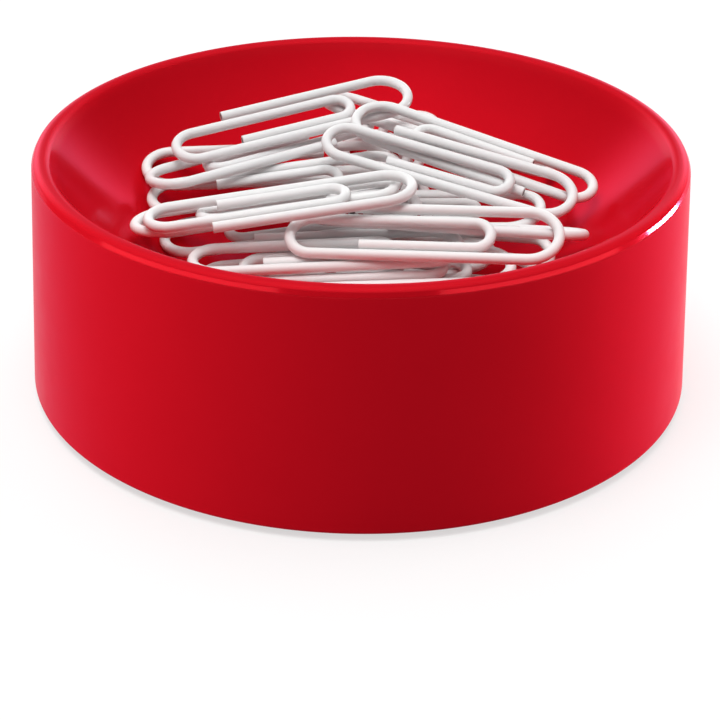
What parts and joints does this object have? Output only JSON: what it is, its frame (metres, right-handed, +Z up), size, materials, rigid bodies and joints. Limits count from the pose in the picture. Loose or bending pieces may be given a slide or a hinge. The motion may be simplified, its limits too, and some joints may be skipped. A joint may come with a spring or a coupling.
{
  "type": "magnetic paper clip holder",
  "caption": "Round desk drum with a spherical dish on top; a magnet under the dish holds a heap of coated wire paper clips.",
  "frame": {"origin": "centre of the base, on the desk", "axes": "+Z up; -Y towards the camera of the picture; +X to its right"},
  "size_m": [0.083, 0.083, 0.031],
  "materials": {
    "red_plastic": "glossy moulded red",
    "white_vinyl": "smooth white vinyl over steel wire",
    "ferrite": "dull pressed ferrite",
    "zinc_steel": "zinc plated",
    "base_plastic": "fine moulded texture",
    "screw_steel": "zinc plated",
    "foot_rubber": "matt"
  },
  "bodies": {
    "holder": {"bowl_shell": "red_plastic", "clip_magnet": "ferrite", "back_plate": "zinc_steel", "base_cover": "base_plastic", "base_screw_1": "screw_steel", "base_screw_2": "screw_steel", "base_screw_3": "screw_steel", "base_screw_4": "screw_steel", "rubber_foot_1": "foot_rubber", "rubber_foot_2": "foot_rubber", "rubber_foot_3": "foot_rubber", "rubber_foot_4": "foot_rubber"},
    "clip_01": {"paper_clip_01": "white_vinyl"},
    "clip_02": {"paper_clip_02": "white_vinyl"},
    "clip_03": {"paper_clip_03": "white_vinyl"},
    "clip_04": {"paper_clip_04": "white_vinyl"},
    "clip_05": {"paper_clip_05": "white_vinyl"},
    "clip_06": {"paper_clip_06": "white_vinyl"},
    "clip_07": {"paper_clip_07": "white_vinyl"},
    "clip_08": {"paper_clip_08": "white_vinyl"},
    "clip_09": {"paper_clip_09": "white_vinyl"},
    "clip_10": {"paper_clip_10": "white_vinyl"},
    "clip_11": {"paper_clip_11": "white_vinyl"},
    "clip_12": {"paper_clip_12": "white_vinyl"},
    "clip_13": {"paper_clip_13": "white_vinyl"},
    "clip_14": {"paper_clip_14": "white_vinyl"},
    "clip_15": {"paper_clip_15": "white_vinyl"},
    "clip_16": {"paper_clip_16": "white_vinyl"},
    "clip_17": {"paper_clip_17": "white_vinyl"},
    "clip_18": {"paper_clip_18": "white_vinyl"},
    "clip_19": {"paper_clip_19": "white_vinyl"},
    "clip_20": {"paper_clip_20": "white_vinyl"},
    "clip_21": {"paper_clip_21": "white_vinyl"},
    "clip_22": {"paper_clip_22": "white_vinyl"}
  },
  "joints": [
    {"name": "lift_01", "type": "slide", "parent": "holder", "child": "clip_01", "axis": [0, 0, 1], "range_m": [0, 0.008]},
    {"name": "lift_02", "type": "slide", "parent": "clip_01", "child": "clip_02", "axis": [0, 0, 1], "range_m": [0, 0.008]},
    {"name": "lift_03", "type": "slide", "parent": "clip_02", "child": "clip_03", "axis": [0, 0, 1], "range_m": [0, 0.008]},
    {"name": "lift_04", "type": "slide", "parent": "clip_03", "child": "clip_04", "axis": [0, 0, 1], "range_m": [0, 0.008]},
    {"name": "lift_05", "type": "slide", "parent": "clip_04", "child": "clip_05", "axis": [0, 0, 1], "range_m": [0, 0.008]},
    {"name": "lift_06", "type": "slide", "parent": "clip_05", "child": "clip_06", "axis": [0, 0, 1], "range_m": [0, 0.008]},
    {"name": "lift_07", "type": "slide", "parent": "clip_06", "child": "clip_07", "axis": [0, 0, 1], "range_m": [0, 0.008]},
    {"name": "lift_08", "type": "slide", "parent": "clip_07", "child": "clip_08", "axis": [0, 0, 1], "range_m": [0, 0.008]},
    {"name": "lift_09", "type": "slide", "parent": "clip_08", "child": "clip_09", "axis": [0, 0, 1], "range_m": [0, 0.008]},
    {"name": "lift_10", "type": "slide", "parent": "clip_09", "child": "clip_10", "axis": [0, 0, 1], "range_m": [0, 0.008]},
    {"name": "lift_11", "type": "slide", "parent": "clip_10", "child": "clip_11", "axis": [0, 0, 1], "range_m": [0, 0.008]},
    {"name": "lift_12", "type": "slide", "parent": "clip_11", "child": "clip_12", "axis": [0, 0, 1], "range_m": [0, 0.008]},
    {"name": "lift_13", "type": "slide", "parent": "clip_12", "child": "clip_13", "axis": [0, 0, 1], "range_m": [0, 0.008]},
    {"name": "lift_14", "type": "slide", "parent": "clip_13", "child": "clip_14", "axis": [0, 0, 1], "range_m": [0, 0.008]},
    {"name": "lift_15", "type": "slide", "parent": "clip_14", "child": "clip_15", "axis": [0, 0, 1], "range_m": [0, 0.008]},
    {"name": "lift_16", "type": "slide", "parent": "clip_15", "child": "clip_16", "axis": [0, 0, 1], "range_m": [0, 0.008]},
    {"name": "lift_17", "type": "slide", "parent": "clip_16", "child": "clip_17", "axis": [0, 0, 1], "range_m": [0, 0.008]},
    {"name": "lift_18", "type": "slide", "parent": "clip_17", "child": "clip_18", "axis": [0, 0, 1], "range_m": [0, 0.008]},
    {"name": "lift_19", "type": "slide", "parent": "clip_18", "child": "clip_19", "axis": [0, 0, 1], "range_m": [0, 0.008]},
    {"name": "lift_20", "type": "slide", "parent": "clip_19", "child": "clip_20", "axis": [0, 0, 1], "range_m": [0, 0.03]},
    {"name": "lift_21", "type": "slide", "parent": "clip_17", "child": "clip_21", "axis": [0, 0, 1], "range_m": [0, 0.008]},
    {"name": "lift_22", "type": "slide", "parent": "clip_21", "child": "clip_22", "axis": [0, 0, 1], "range_m": [0, 0.03]}
  ]
}
